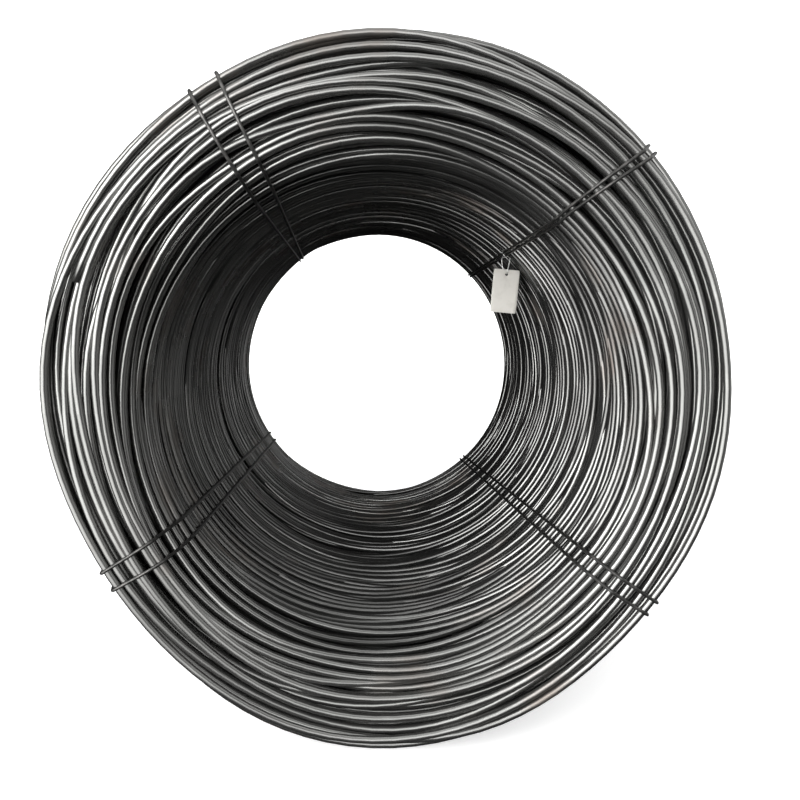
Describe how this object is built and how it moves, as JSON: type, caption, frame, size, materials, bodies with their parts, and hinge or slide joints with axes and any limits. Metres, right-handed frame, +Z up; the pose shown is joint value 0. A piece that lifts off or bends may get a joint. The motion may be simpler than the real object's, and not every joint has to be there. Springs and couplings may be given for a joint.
{
  "type": "coil of carbon steel wire",
  "caption": "Heavy coil of loosely laid carbon steel wire with an open bore, bound round its wall by doubled wire ties, with a blank hanging tag.",
  "frame": {"origin": "on the floor, under the middle of the coil as it lies on its barrel", "axes": "+Z up, +Y along the bore from the near end to the far end, +X to the right seen from the near end"},
  "size_m": [1.25, 1.5126, 1.25],
  "materials": {
    "coil_wire": "hot-rolled steel wire with dark grey mill scale, satin, rubbed brighter on the end, with a little brown rust",
    "tie_wire": "dark mill-scaled round tie wire, satin",
    "tag": "off-white stiff plate, matt, faintly soiled, bare",
    "tag_wire": "thin bright galvanised wire"
  },
  "bodies": {
    "root": {"wire_coil": "coil_wire", "tie_upper_left_a": "tie_wire", "tie_upper_left_b": "tie_wire", "tie_upper_right_a": "tie_wire", "tie_upper_right_b": "tie_wire", "tie_lower_right_a": "tie_wire", "tie_lower_right_b": "tie_wire", "tie_lower_left_a": "tie_wire", "tie_lower_left_b": "tie_wire", "tag": "tag", "tag_wire": "tag_wire"}
  },
  "joints": []
}
